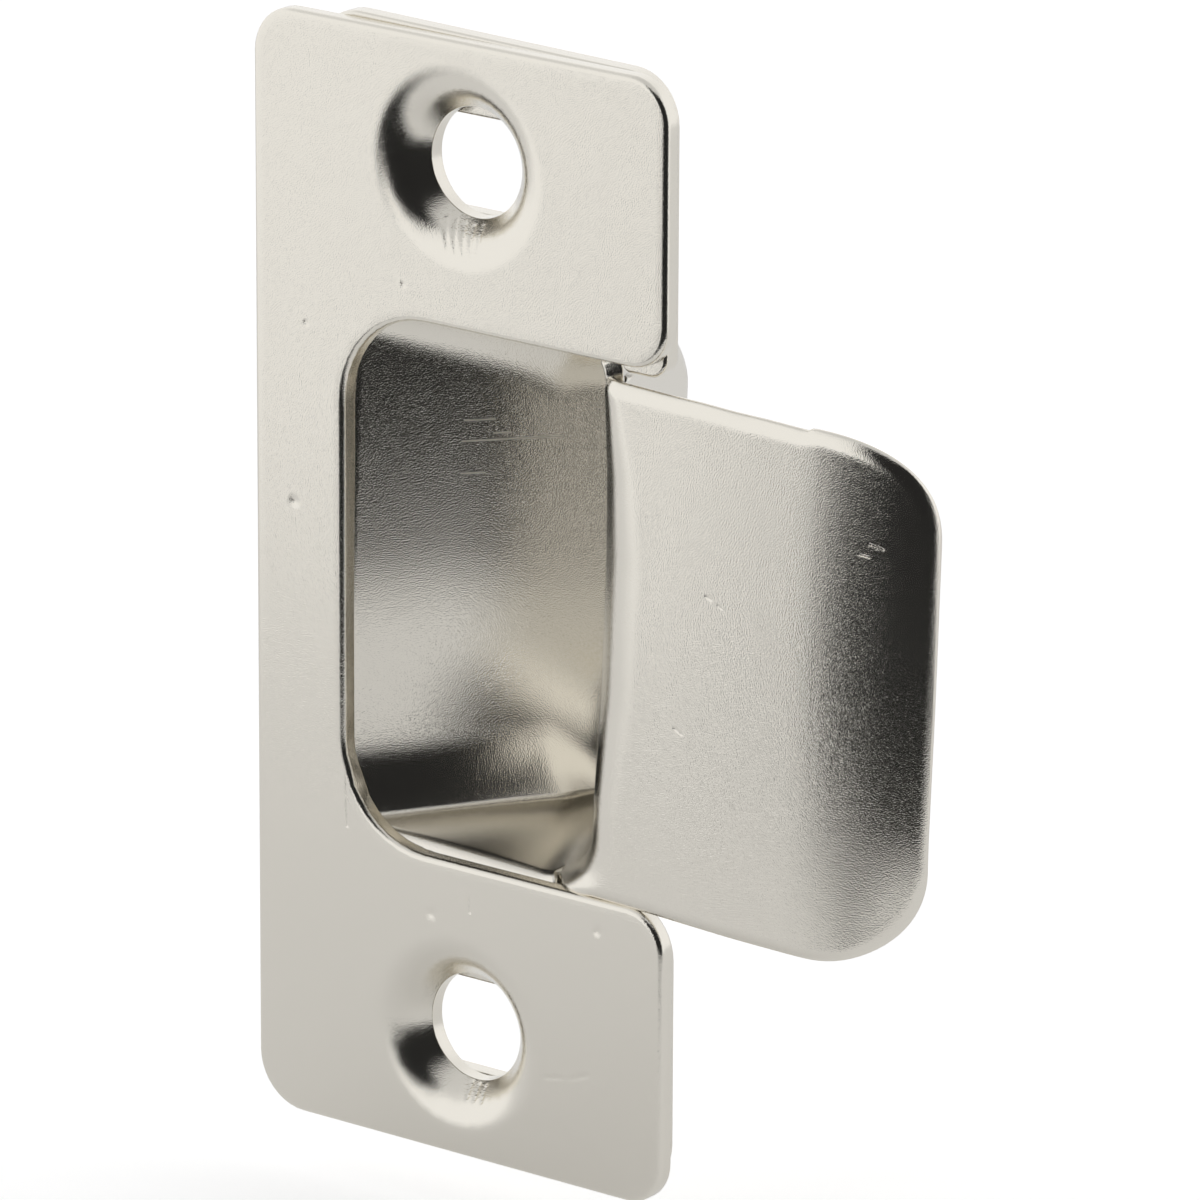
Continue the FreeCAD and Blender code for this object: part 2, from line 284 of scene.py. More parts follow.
@dataclass
class Skin:
    """The front skin of a sheet, put together from patches that share points along their seams."""

    points: list[np.ndarray] = field(default_factory=list)
    faces: list[tuple[int, ...]] = field(default_factory=list)
    size: int = 0

    def add(self, points: np.ndarray, faces: Sequence[Sequence[int]]) -> None:
        """Add a patch of points and faces, all counter-clockwise seen from the front."""
        self.faces += [tuple(int(i) + self.size for i in face) for face in faces]
        self.points.append(points)
        self.size += len(points)

    def add_grid(self, grid: np.ndarray) -> None:
        """Add a patch from a grid of points, whose faces run row, next row, next column."""
        rows, columns = grid.shape[:2]
        faces = []
        for r in range(rows - 1):
            for c in range(columns - 1):
                corner = r * columns + c
                faces.append((corner, corner + 1, corner + columns + 1, corner + columns))
        self.add(grid.reshape(-1, 3), faces)

    def welded(self) -> tuple[np.ndarray, list[tuple[int, ...]]]:
        """Join points that lie in one place.

        Returns:
            The points and the faces, without faces that shrank to a line.
        """
        points = np.concatenate(self.points)
        keys = np.round(points / 2e-4).astype(np.int64)
        _, first, back = np.unique(keys, axis=0, return_index=True, return_inverse=True)
        faces = []
        for face in self.faces:
            joined = [int(back[i]) for i in face]
            kept = [v for k, v in enumerate(joined) if v != joined[k - 1]]
            if len(set(kept)) == len(kept) and len(kept) > 2:
                faces.append(tuple(kept))
        return points[first], faces


def vertex_normals(points: np.ndarray, faces: Sequence[Sequence[int]]) -> np.ndarray:
    """Area-weighted normals of a skin."""
    normals = np.zeros_like(points)
    for size in (3, 4):
        chosen = np.array([face for face in faces if len(face) == size])
        if not len(chosen):
            continue
        if size == 3:
            across = np.cross(points[chosen[:, 1]] - points[chosen[:, 0]], points[chosen[:, 2]] - points[chosen[:, 0]])
        else:
            across = np.cross(points[chosen[:, 2]] - points[chosen[:, 0]], points[chosen[:, 3]] - points[chosen[:, 1]])
        for k in range(size):
            np.add.at(normals, chosen[:, k], across)
    length = np.linalg.norm(normals, axis=1)
    length[length == 0.0] = 1.0
    return normals / length[:, None]


def boundary_loops(faces: Sequence[Sequence[int]]) -> list[list[int]]:
    """Closed loops of boundary points, each running with the skin on its left."""
    directed = set()
    for face in faces:
        for k, vertex in enumerate(face):
            directed.add((face[k - 1], vertex))
    following = {}
    for a, b in directed:
        if (b, a) not in directed:
            following[a] = b
    loops = []
    while following:
        start, vertex = next(iter(following.items()))
        loop = [start]
        del following[start]
        while vertex != start:
            loop.append(vertex)
            vertex = following.pop(vertex)
        loops.append(loop)
    return loops


@dataclass(frozen=True)
class Rim:
    """How a cut edge is finished: a rolled front radius, and a small one where the shear broke out."""

    front_radius: float
    back_radius: float
    arc_samples: int = 5


@dataclass
class Sheet:
    """A sheet of metal: a front skin, its thickness and its rim."""

    thickness: Callable[[np.ndarray], np.ndarray]
    rim: Rim
    punched: Callable[[np.ndarray], bool] = lambda middle: False
    punched_depth: float = 0.0
    punched_rim: Rim = Rim(0.12, 0.08)

    def build(self, skin: Skin) -> tuple[np.ndarray, list[tuple[int, ...]]]:
        """Give the skin a back and a rim.

        Args:
            skin: The front skin, drawn back from each cut edge by the rim's front radius.

        Returns:
            Points and faces of the closed sheet.
        """
        points, faces = skin.welded()
        normals = vertex_normals(points, faces)
        depth = self.thickness(points)
        back = points - normals * depth[:, None]
        all_points = [points, back]
        offset = len(points)
        all_faces = list(faces) + [tuple(v + offset for v in reversed(face)) for face in faces]
        size = 2 * offset
        for loop in boundary_loops(faces):
            ring = np.array(loop)
            place = points[ring]
            along = np.roll(place, -1, axis=0) - place
            along /= np.linalg.norm(along, axis=1)[:, None]
            outward = np.cross(along, normals[ring])
            outward /= np.linalg.norm(outward, axis=1)[:, None]
            joined = outward + np.roll(outward, 1, axis=0)
            joined /= np.maximum(np.linalg.norm(joined, axis=1), 1e-6)[:, None]
            miter = 1.0 / np.clip((joined * outward).sum(axis=1), 0.6, 1.0)
            punched = self.punched(place.mean(axis=0))
            wall = np.tile(BACKWARD, (len(ring), 1)) if punched else -normals[ring]
            rows = self._rim_rows(place, joined, miter, wall, depth[ring], punched)
            all_points[1][ring] = rows.pop()
            first = size
            for row in rows:
                all_points.append(row)
                size += len(row)
            count = len(ring)
            levels = [ring] + [first + r * count + np.arange(count) for r in range(len(rows))] + [ring + offset]
            for upper, lower in zip(levels, levels[1:]):
                for k in range(count):
                    after = (k + 1) % count
                    all_faces.append((int(upper[after]), int(upper[k]), int(lower[k]), int(lower[after])))
        return np.concatenate(all_points), all_faces

    def _rim_rows(self, place: np.ndarray, outward: np.ndarray, miter: np.ndarray, wall: np.ndarray,
                  depth: np.ndarray, punched: bool) -> list[np.ndarray]:
        """Rows of points round the rim, from the front skin to the back skin."""
        rim = self.punched_rim if punched else self.rim
        front = rim.front_radius
        back = rim.back_radius
        lean = (wall * outward).sum(axis=1)[:, None]
        across = wall - lean * outward
        across /= np.linalg.norm(across, axis=1)[:, None]
        turn = np.arccos(np.clip(lean, -1.0, 1.0))
        stretch = outward * miter[:, None]
        rows = []
        for k in range(1, rim.arc_samples + 1):
            angle = turn * k / rim.arc_samples
            rows.append(place + front * (np.sin(angle) * stretch + (1.0 - np.cos(angle)) * across))
        edge = rows[-1]
        if punched:
            drop = np.full(len(place), self.punched_depth) - edge[:, 1]
            drop -= back
            inward = -(outward - lean * wall)
            inward /= np.linalg.norm(inward, axis=1)[:, None]
        else:
            drop = depth - front - back
            inward = -stretch
        foot = edge + wall * drop[:, None]
        rows.append(foot)
        for k in range(1, 3):
            angle = 0.5 * pi * k / 2
            rows.append(foot + back * (sin(angle) * wall + (1.0 - cos(angle)) * inward))
        return rows


def make_object(name: str, points: np.ndarray, faces: Sequence[Sequence[int]]) -> bpy.types.Object:
    """Make a smooth-shaded mesh object.

    Args:
        name: The object's name.
        points: Points in mm.
        faces: Faces as point numbers.

    Returns:
        The object, linked to the scene.
    """
    mesh = bpy.data.meshes.new(name)
    mesh.from_pydata([tuple(p) for p in points * MM], [], faces)
    mesh.validate(verbose=False)
    mesh.shade_smooth()
    mesh.update()
    made = bpy.data.objects.new(name, mesh)
    bpy.context.scene.collection.objects.link(made)
    return made


def rest_on_normals(made: bpy.types.Object) -> None:
    """Shade an object by area-weighted normals, so a rolled edge doesn't tint the flat beside it."""
    mesh = made.data
    points = np.zeros(len(mesh.vertices) * 3, np.float32)
    mesh.vertices.foreach_get("co", points)
    faces = [tuple(polygon.vertices) for polygon in mesh.polygons]
    normals = vertex_normals(points.reshape(-1, 3).astype(float) / MM, faces)
    mesh.normals_split_custom_set_from_vertices([tuple(n) for n in normals])


@dataclass
class FacePlate:
    """The notched plate that shows, with a dimple pressed back round each screw hole."""

    width: float = 25.4
    height: float = 57.15
    sheet: float = 0.9
    corners: tuple[float, float, float, float] = (2.8, 2.2, 2.3, 2.4)
    notch_web: float = 5.6
    notch_top: float = 14.12
    notch_bottom: float = -13.28
    notch_inner: float = 5.0
    notch_ear: float = 2.2
    spacing: float = 44.45
    hole: float = 2.72
    dimple_depth: float = 1.65
    dimple_slope: float = 50.0
    dimple_shoulder: float = 2.3
    dimple_back: float = 2.42
    pitch: float = 0.7
    step: float = 0.45
    rim: Rim = Rim(0.3, 0.1)

    def outline(self) -> np.ndarray:
        """Front outline at the cut edge."""
        x = self.width / 2
        z = self.height / 2
        left = self.notch_web - x
        return rounded_outline([
            Corner(-x, -z, self.corners[0]), Corner(x, -z, self.corners[1]),
            Corner(x, self.notch_bottom, self.notch_ear), Corner(left, self.notch_bottom, self.notch_inner),
            Corner(left, self.notch_top, self.notch_inner), Corner(x, self.notch_top, self.notch_ear),
            Corner(x, z, self.corners[2]), Corner(-x, z, self.corners[3])], self.step)

    def dimple(self, radius: np.ndarray) -> np.ndarray:
        """Depth of a dimple at a distance from its hole's centre."""
        slope = radians(self.dimple_slope)
        arc_depth = self.dimple_shoulder * (1.0 - cos(slope))
        inner = self.hole + (self.dimple_depth - arc_depth) / tan(slope)
        outer = inner + self.dimple_shoulder * sin(slope)
        cone = self.dimple_depth - (radius - self.hole) * tan(slope)
        reach = np.clip(outer - radius, 0.0, self.dimple_shoulder * sin(slope))
        arc = self.dimple_shoulder - np.sqrt(self.dimple_shoulder ** 2 - reach ** 2)
        return np.where(radius < inner, cone, arc)

    def height_at(self, flat: np.ndarray) -> np.ndarray:
        """Depth of the front skin at points of the plane."""
        depth = np.zeros(len(flat))
        for side in (1, -1):
            centre = np.array([0.0, side * self.spacing / 2])
            depth += self.dimple(np.linalg.norm(flat - centre, axis=1))
        return depth + marked(FACE_MARKS, flat)

    def thickness_at(self, points: np.ndarray) -> np.ndarray:
        """Thickness along the normal, thinner where the metal was stretched."""
        flat = points[:, [0, 2]]
        pressed = self.height_at(flat) - marked(FACE_MARKS, flat)
        return self.sheet - 0.22 * np.clip(pressed / self.dimple_depth, 0.0, 1.0)

    def build(self) -> bpy.types.Object:
        """Build the plate as one closed sheet.

        Returns:
            The mesh object.
        """
        outer = inset_loop(self.outline(), self.rim.front_radius)
        second = inset_loop(outer, 0.4)
        holes = []
        rings = [second]
        for side in (1, -1):
            z = side * self.spacing / 2
            holes.append(circle(0.0, z, self.hole + 0.08, 96))
            for radius in np.arange(3.0, 5.7, 0.2):
                rings.append(circle(0.0, z, radius, 96))
        worn = np.concatenate([mark.points() for mark in FACE_MARKS])
        flat, faces = triangulate(outer, holes, rings, self.pitch, worn)
        points = np.stack([flat[:, 0], self.height_at(flat), flat[:, 1]], axis=1)
        skin = Skin()
        skin.add(points, faces)
        sheet = Sheet(self.thickness_at, self.rim, self.is_hole, self.dimple_back)
        made = make_object("face_plate_sheet", *sheet.build(skin))
        rest_on_normals(made)
        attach(made, Body.FACE.value)
        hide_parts("face_plate")
        return made

    def is_hole(self, middle: np.ndarray) -> bool:
        """Tell a screw hole's rim from the outline."""
        return abs(abs(middle[2]) - self.spacing / 2) < 1.0


@dataclass
class Pocket:
    """The drawn pocket: a V in plan, bowled at its top, whose right wall becomes the lip."""

    plane: float = 0.95
    mouth: float = -7.5
    slope: float = 49.0
    length: float = 10.78
    lean_back: float = 20.5
    apex_radius: float = 1.5
    top: float = 14.07
    bottom: float = -13.3
    draft_top: float = 5.5
    draft_bottom: float = 6.0
    top_radius: float = 6.5
    bottom_radius: float = 1.6
    bowl_radius: float = 2.2
    bowl_growth: float = 0.3
    fold_onset_radius: float = 5.0
    fold_onset_turn: float = 40.0
    fold_radius: float = 0.8
    root_corner: float = 3.0
    ear_corner: float = 1.0
    sag: float = 0.68
    sag_top: float = 1.4
    sag_bottom: float = -9.3
    sag_growth: float = 1.35
    crease: tuple[float, float] = (0.86, -6.5)
    crease_heading: float = -29.2
    crease_rise: float = 0.15
    wall_depth: float = 3.6
    side_samples: int = 54
    end_samples: int = 16
    arc_samples: int = 12

    @property
    def bend_corner(self) -> float:
        """X where the right wall's face would meet the lip's front plane."""
        slant = self.length * tan(radians(self.slope))
        return self.mouth + self.length + (self.plane + slant) * tan(radians(self.lean_back))

    def apex_arc(self) -> tuple[np.ndarray, float]:
        """Centre of the apex's arc in plan, and the pocket's depth."""
        slope = radians(self.slope)
        lean = radians(self.lean_back)
        left_normal = np.array([sin(slope), -cos(slope)])
        right_normal = np.array([-cos(lean), -sin(lean)])
        sides = np.stack([left_normal, right_normal])
        offsets = np.array([
            left_normal @ np.array([self.mouth, self.plane]) + self.apex_radius,
            right_normal @ np.array([self.bend_corner, 0.0]) + self.apex_radius])
        centre = np.linalg.solve(sides, offsets)
        return centre, float(centre[1] + self.apex_radius)

    def left_at(self, y: float) -> float:
        """X of the slanted wall at a depth."""
        centre, _ = self.apex_arc()
        if y > centre[1] + self.apex_radius * cos(radians(self.slope)):
            return centre[0] - np.sqrt(max(0.0, self.apex_radius ** 2 - (y - centre[1]) ** 2))
        return self.mouth + (y - self.plane) / tan(radians(self.slope))

    def right_at(self, y: float) -> float:
        """X of the return wall at a depth."""
        centre, _ = self.apex_arc()
        if y > centre[1] + self.apex_radius * sin(radians(self.lean_back)):
            return centre[0] + np.sqrt(max(0.0, self.apex_radius ** 2 - (y - centre[1]) ** 2))
        return self.bend_corner - y * tan(radians(self.lean_back))

    def end_at(self, y: float, start: float, draft: float, radius: float) -> float:
        """Height of an end wall at a depth, measured outward."""
        _, depth = self.apex_arc()
        taper = radians(draft)
        centre_y = depth - radius
        wall_at_centre = start - (centre_y - self.plane) * tan(taper)
        centre_z = wall_at_centre - radius / cos(taper)
        if y > centre_y + radius * sin(taper):
            return centre_z + np.sqrt(max(0.0, radius ** 2 - (y - centre_y) ** 2))
        return start - (y - self.plane) * tan(taper)

    def fold_corner(self, left: float, bottom: float, scale: float) -> np.ndarray:
        """The lower left corner: a soft onset that tightens into the fold."""
        onset = self.fold_onset_radius * scale
        tight = self.fold_radius * scale
        turn = radians(180.0 + self.fold_onset_turn)
        second = np.array([left + onset + (onset - tight) * cos(turn), bottom + tight])
        first = second - (onset - tight) * np.array([cos(turn), sin(turn)])
        half = self.arc_samples // 2
        soft = np.linspace(pi, turn, half + 1)
        rest = np.linspace(turn, 1.5 * pi, self.arc_samples - half + 1)[1:]
        return np.concatenate([
            first + onset * np.stack([np.cos(soft), np.sin(soft)], axis=1),
            second + tight * np.stack([np.cos(rest), np.sin(rest)], axis=1)])

    def round_corner(self, x: float, z: float, radius: float, start: float) -> np.ndarray:
        """A plain corner whose arc starts at an angle in degrees."""
        angles = np.radians(start + np.linspace(0.0, 90.0, self.arc_samples + 1))
        centre = np.array([x, z]) + radius * np.array([
            1.0 if start in (90.0, 180.0) else -1.0, 1.0 if start >= 180.0 else -1.0])
        return centre + radius * np.stack([np.cos(angles), np.sin(angles)], axis=1)

    def ring(self, y: float) -> np.ndarray:
        """Contour of the pocket at a depth, counter-clockwise from the left end of the bottom side."""
        left = self.left_at(y)
        right = self.right_at(y)
        top = self.end_at(y, self.top, self.draft_top, self.top_radius)
        bottom = -self.end_at(y, -self.bottom, self.draft_bottom, self.bottom_radius)
        width = right - left
        low = min(1.0, 0.96 * width / (0.4 * self.fold_onset_radius + self.root_corner))
        bowl = self.bowl_radius + self.bowl_growth * (y - self.plane)
        high = min(1.0, 0.96 * width / (bowl + self.ear_corner))
        arcs = [
            self.fold_corner(left, bottom, low),
            self.round_corner(right, bottom, self.root_corner * low, 270.0),
            self.round_corner(right, top, self.ear_corner * high, 0.0),
            self.round_corner(left, top, bowl * high, 90.0)]
        counts = (self.end_samples, self.side_samples, self.end_samples, self.side_samples)
        parts = []
        for index in range(4):
            here = arcs[index][-1]
            there = arcs[(index + 1) % 4][0]
            share = np.linspace(0.0, 1.0, counts[index] + 1)
            if index == 1:
                share = self.finer_at_end(share)
            parts.append(here + (there - here) * share[:-1, None])
            parts.append(arcs[(index + 1) % 4][:-1])
        flat = np.concatenate(parts)
        leftness = np.clip((right - flat[:, 0]) / max(width, 1e-6), 0.0, 1.0) * min(1.0, width / 3.0)
        fall = np.clip((self.sag_top - flat[:, 1]) / (self.sag_top - self.sag_bottom), 0.0, 1.0)
        fall = fall ** self.sag_growth
        flat[:, 0] -= self.sag * fall * fall * (3.0 - 2.0 * fall) * leftness
        heading = radians(self.crease_heading)
        past = (flat[:, 0] - self.crease[0]) * cos(heading) + (flat[:, 1] - self.crease[1]) * sin(heading)
        rise = 0.5 * self.crease_rise * (past + np.hypot(past, 0.3)) * leftness
        return np.stack([flat[:, 0], y - rise, flat[:, 1]], axis=1)

    @staticmethod
    def finer_at_end(share: np.ndarray) -> np.ndarray:
        """Crowd the samples toward the end, where the lip's edge rolls over."""
        return 1.0 - (1.0 - share) ** 1.35

    def levels(self) -> np.ndarray:
        """Depths of the rings, from the wall's foot to the apex."""
        _, depth = self.apex_arc()
        straight = np.linspace(self.wall_depth, depth - self.bottom_radius, 20)
        angles = np.linspace(0.0, 0.5 * pi, 12)[1:]
        return np.concatenate([straight, depth - self.bottom_radius * (1.0 - np.sin(angles))])

    @property
    def lip_bottom(self) -> int:
        """Index of the lowest sample that runs on into the lip."""
        return self.end_samples + 3

    @property
    def mouth_end(self) -> int:
        """Index of the last sample of the bottom side that flares onto the plate."""
        return self.end_samples + 2

    @property
    def lip_top(self) -> int:
        """Index of the highest sample that runs on into the lip."""
        return self.end_samples + self.arc_samples + self.side_samples

    @property
    def ear_top(self) -> int:
        """Index of the last sample of the right wall, beside the relief slot."""
        return self.lip_top + 5

    @property
    def mouth_start(self) -> int:
        """Index of the first sample of the top side that flares onto the plate."""
        return self.ear_top + 4


@dataclass
class Lip:
    """The lip: flat in front of the door's edge, curled back at its free end."""

    bend_radii: tuple[tuple[float, float], ...] = (
        (-13.0, 3.4), (-11.0, 2.7), (-8.5, 2.6), (-3.0, 3.7), (4.0, 3.95), (8.0, 3.3), (11.6, 2.0), (13.0, 1.3))
    seam: float = 12.6
    tip: float = 27.82
    curl_start: float = 19.7
    curl_angle: float = 30.0
    curl_growth: float = 1.6
    bow: float = 0.0016
    dish: float = 0.011
    dish_top: float = -5.5
    dish_start: float = 23.2
    top_corner: tuple[float, float, float] = (6.6, 4.85, 2.4)
    bottom_corner: tuple[float, float, float] = (6.3, 5.3, 2.0)
    top_step: float = 0.17
    lean: float = 2.0
    roll_widths: tuple[tuple[float, float], ...] = ((-13.0, 0.4), (-6.0, 0.5), (6.0, 0.6), (13.0, 0.65))
    roll_depth: float = 0.36

    def angle(self, developed: np.ndarray) -> np.ndarray:
        """Turn of the lip's face along the developed length."""
        share = np.clip((developed - self.curl_start) / (self.tip - self.curl_start), 0.0, 1.2)
        middle = 0.5 * (self.seam + self.curl_start)
        flat = 2.0 * self.bow * np.clip(developed - middle, self.seam - middle, self.curl_start - middle)
        return radians(self.curl_angle) * share ** self.curl_growth + flat - flat.min()

    def place(self, developed: np.ndarray) -> np.ndarray:
        """Bend points of the flat blank onto the lip.

        Args:
            developed: Rows of (developed x, z).

        Returns:
            Points in space, before the lean.
        """
        along = np.linspace(self.seam, self.tip + 0.5, 600)
        angle = self.angle(along)
        step = along[1] - along[0]
        x = self.seam + np.concatenate([[0.0], np.cumsum(0.5 * (np.cos(angle[1:]) + np.cos(angle[:-1]))) * step])
        y = np.concatenate([[0.0], np.cumsum(0.5 * (np.sin(angle[1:]) + np.sin(angle[:-1]))) * step])
        low = np.clip(self.dish_top - developed[:, 1], 0.0, None)
        out = np.clip((developed[:, 0] - self.dish_start) / (self.tip - self.dish_start), 0.0, 1.0)
        dished = self.dish * low * low * out * out * (3.0 - 2.0 * out)
        return np.stack([np.interp(developed[:, 0], along, x),
                         np.interp(developed[:, 0], along, y) + dished, developed[:, 1]], axis=1)

    def outline(self, low: float, high: float, inset: float, step: float = 0.4) -> np.ndarray:
        """Free edge of the lip, from the seam's low end round to its high end."""
        tip = self.tip - inset
        wide, tall, power = self.bottom_corner
        turn = np.linspace(0.0, 0.5 * pi, 22)
        bottom = np.stack([tip - wide + wide * np.sin(turn) ** (2.0 / power),
                           low + tall - tall * np.cos(turn) ** (2.0 / power)], axis=1)
        wide, tall, power = self.top_corner
        crest = high + self.top_step
        top = np.stack([tip - wide + wide * np.cos(turn) ** (2.0 / power),
                        crest - tall + tall * np.sin(turn) ** (2.0 / power)], axis=1)
        step_down = np.array([[top[-1, 0] - 0.35, crest - 0.03], [top[-1, 0] - 0.6, high]])
        corners = [np.array([[self.seam, low]]), bottom, top, step_down, np.array([[self.seam, high]])]
        path = np.concatenate(corners)
        pieces = []
        for here, there in zip(path, path[1:]):
            count = max(1, int(round(np.linalg.norm(there - here) / step)))
            pieces.append(here + (there - here) * np.linspace(0.0, 1.0, count + 1)[:-1, None])
        pieces.append(path[-1:])
        return np.concatenate(pieces)

    def roll(self, distance: np.ndarray, z: np.ndarray) -> np.ndarray:
        """How far the face has rolled back at a distance from the edge, at a height."""
        heights, widths = zip(*self.roll_widths)
        width = np.interp(z, heights, widths)
        share = np.clip(1.0 - distance / width, 0.0, 1.0)
        return self.roll_depth * width * share * share


@dataclass
class Trough:
    """A trough pressed back round a slot, in which a dimple nests."""

    x: float
    z: float
    slot_half_x: float
    slot_half_z: float
    slot_corner: float = 1.2
    ledge_x: float = 0.85
    half_z: float = 3.6
    depth: float = 1.71
    run: float = 1.9

    def loop(self, half_x: float, half_z: float, radius: float, step: float = 0.45) -> np.ndarray:
        """A rounded rectangle about the trough's centre."""
        return rounded_outline([
            Corner(self.x - half_x, self.z - half_z, radius), Corner(self.x + half_x, self.z - half_z, radius),
            Corner(self.x + half_x, self.z + half_z, radius), Corner(self.x - half_x, self.z + half_z, radius)], step)

    def slot(self, inset: float) -> np.ndarray:
        """The slot's loop, drawn back from its cut edge."""
        return self.loop(self.slot_half_x + inset, self.slot_half_z + inset, self.slot_corner + inset)

    def floor(self) -> tuple[float, float, float]:
        """Half sizes and corner radius of the floor."""
        return self.slot_half_x + self.ledge_x, self.half_z, self.slot_corner + self.ledge_x

    def rings(self) -> list[np.ndarray]:
        """Loops that carry the trough's slope."""
        half_x, half_z, radius = self.floor()
        steps = np.linspace(-0.25, self.run + 0.25, 11)
        return [self.loop(half_x + s, half_z + s, radius + s) for s in steps]

    def depth_at(self, flat: np.ndarray) -> np.ndarray:
        """Depth of the trough at points of the plane."""
        half_x, half_z, radius = self.floor()
        beyond_x = np.abs(flat[:, 0] - self.x) - (half_x - radius)
        beyond_z = np.abs(flat[:, 1] - self.z) - (half_z - radius)
        outside = np.hypot(np.maximum(beyond_x, 0.0), np.maximum(beyond_z, 0.0))
        gap = outside + np.minimum(np.maximum(beyond_x, beyond_z), 0.0) - radius
        share = np.clip(gap / self.run, 0.0, 1.0)
        return self.depth * (1.0 - share * share * (3.0 - 2.0 * share))


@dataclass
class LipPlate:
    """The slotted plate behind, with its drawn pocket and the lip bent out of the pocket's right wall."""

    pocket: Pocket = field(default_factory=Pocket)
    lip: Lip = field(default_factory=Lip)
    thickness: float = 1.0
    mouth_radius: float = 0.9
    wall_samples: int = 5
    bend_samples: int = 14
    left: float = -9.48
    right: float = 12.02
    bottom: float = -28.4
    top_left: float = 28.85
    top_right: float = 28.5
    corner: float = 2.4
    ear_left: float = 9.3
    ear_bottom: float = 13.5
    rim: Rim = Rim(0.2, 0.1)
    troughs: tuple[Trough, ...] = (
        Trough(1.27, 21.745, 5.02, 2.4), Trough(1.27, -22.705, 5.02, 2.4))

    def leaned(self, points: np.ndarray) -> np.ndarray:
        """Turn points by the lip's lean about the bend's corner."""
        angle = radians(self.lip.lean)
        x = points[..., 0] - self.pocket.bend_corner
        z = points[..., 2]
        turned = points.copy()
        turned[..., 0] = self.pocket.bend_corner + x * cos(angle) + z * sin(angle)
        turned[..., 2] = z * cos(angle) - x * sin(angle)
        return turned

    def forward_paths(self, columns: np.ndarray, away: np.ndarray, level: float,
                      radius: np.ndarray) -> np.ndarray:
        """Carry the pocket's wall forward and round a bend onto a plane of constant depth.

        Args:
            columns: Indices of the ring's samples.
            away: Unit direction, per column, in which the sheet leaves the wall.
            level: Depth of the plane reached.
            radius: Bend radius per column, made smaller where the wall is too short for it.

        Returns:
            A grid of points, from the plane to the ring.
        """
        start, forward = self.wall_start(columns)
        reach = (level - start[:, 1]) / forward[:, 1]
        corner = start + forward * reach[:, None]
        turn = np.arccos(np.clip((forward * away).sum(axis=1), -1.0, 1.0))
        setback = np.minimum(radius * np.tan(0.5 * turn), 0.97 * reach)
        radius = setback / np.tan(0.5 * turn)
        across = away - (away * forward).sum(axis=1)[:, None] * forward
        across /= np.linalg.norm(across, axis=1)[:, None]
        first = corner - forward * setback[:, None]
        rows = self.straight_rows(start, first)
        for k in range(self.bend_samples + 1):
            angle = (turn * k / self.bend_samples)[:, None]
            rows.append(first + radius[:, None] * (np.sin(angle) * forward + (1.0 - np.cos(angle)) * across))
        return np.stack(rows[::-1])

    def wall_start(self, columns: np.ndarray) -> tuple[np.ndarray, np.ndarray]:
        """Points of the pocket's foremost ring, and the wall's forward directions there."""
        start = self.pocket.ring(self.pocket.wall_depth)[columns]
        forward = start - self.pocket.ring(self.pocket.wall_depth + 0.2)[columns]
        return start, forward / np.linalg.norm(forward, axis=1)[:, None]

    def straight_rows(self, start: np.ndarray, end: np.ndarray) -> list[np.ndarray]:
        """Rows of points from the ring up to, but not at, the ends of the straight wall."""
        return [start + (end - start) * k / self.wall_samples for k in range(self.wall_samples)]

    def add_foot(self, skin: Skin, columns: np.ndarray, low: float, high: float) -> None:
        """Carry the wall straight forward between two bends, to a length that passes from one to the other."""
        start, forward = self.wall_start(columns)
        share = np.linspace(0.0, 1.0, len(columns))
        end = start + forward * (low + (high - low) * share)[:, None]
        rows = self.straight_rows(start, end) + [end]
        skin.add_grid(self.leaned(np.stack(rows[::-1])))

    def outward(self) -> np.ndarray:
        """Outward normals of the pocket's ring in the plane of the plate."""
        ring = self.pocket.ring(self.pocket.wall_depth)
        along = np.roll(ring, -1, axis=0) - np.roll(ring, 1, axis=0)
        along /= np.linalg.norm(along, axis=1)[:, None]
        return np.stack([along[:, 2], np.zeros(len(ring)), -along[:, 0]], axis=1)

    def build(self) -> bpy.types.Object:
        """Build the plate, pocket and lip as one closed sheet.

        Returns:
            The mesh object.
        """
        skin = Skin()
        rings = np.stack([self.pocket.ring(y) for y in self.pocket.levels()])
        closed = np.concatenate([rings, rings[:, :1]], axis=1)
        skin.add_grid(self.leaned(closed))
        count = rings.shape[1]
        flare = self.add_mouth(skin, count)
        bend = self.add_lip(skin)
        first = self.bend_samples
        lengths = [np.linalg.norm(grid[first, column] - grid[-1, column])
                   for grid, column in ((flare, -1), (bend, 0), (bend, -1), (flare, 0))]
        pocket = self.pocket
        self.add_foot(skin, np.arange(pocket.mouth_end, pocket.lip_bottom + 1), lengths[0], lengths[1])
        self.add_foot(skin, np.arange(pocket.ear_top, pocket.mouth_start + 1), lengths[2], lengths[3])
        self.add_plate(skin, self.leaned(flare[0]))
        sheet = Sheet(lambda points: np.full(len(points), self.thickness), self.rim)
        made = make_object("lip_plate_sheet", *sheet.build(skin))
        rest_on_normals(made)
        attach(made, Body.LIP.value)
        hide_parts("lip_plate")
        return made

    def add_mouth(self, skin: Skin, count: int) -> np.ndarray:
        """Flare the top, left and bottom walls onto the plate; returns the grid before its lean."""
        columns = np.arange(self.pocket.mouth_start, count + self.pocket.mouth_end + 1) % count
        away = self.outward()[columns]
        radius = np.full(len(columns), self.mouth_radius)
        grid = self.forward_paths(columns, away, self.pocket.plane, radius)
        skin.add_grid(self.leaned(grid))
        return grid

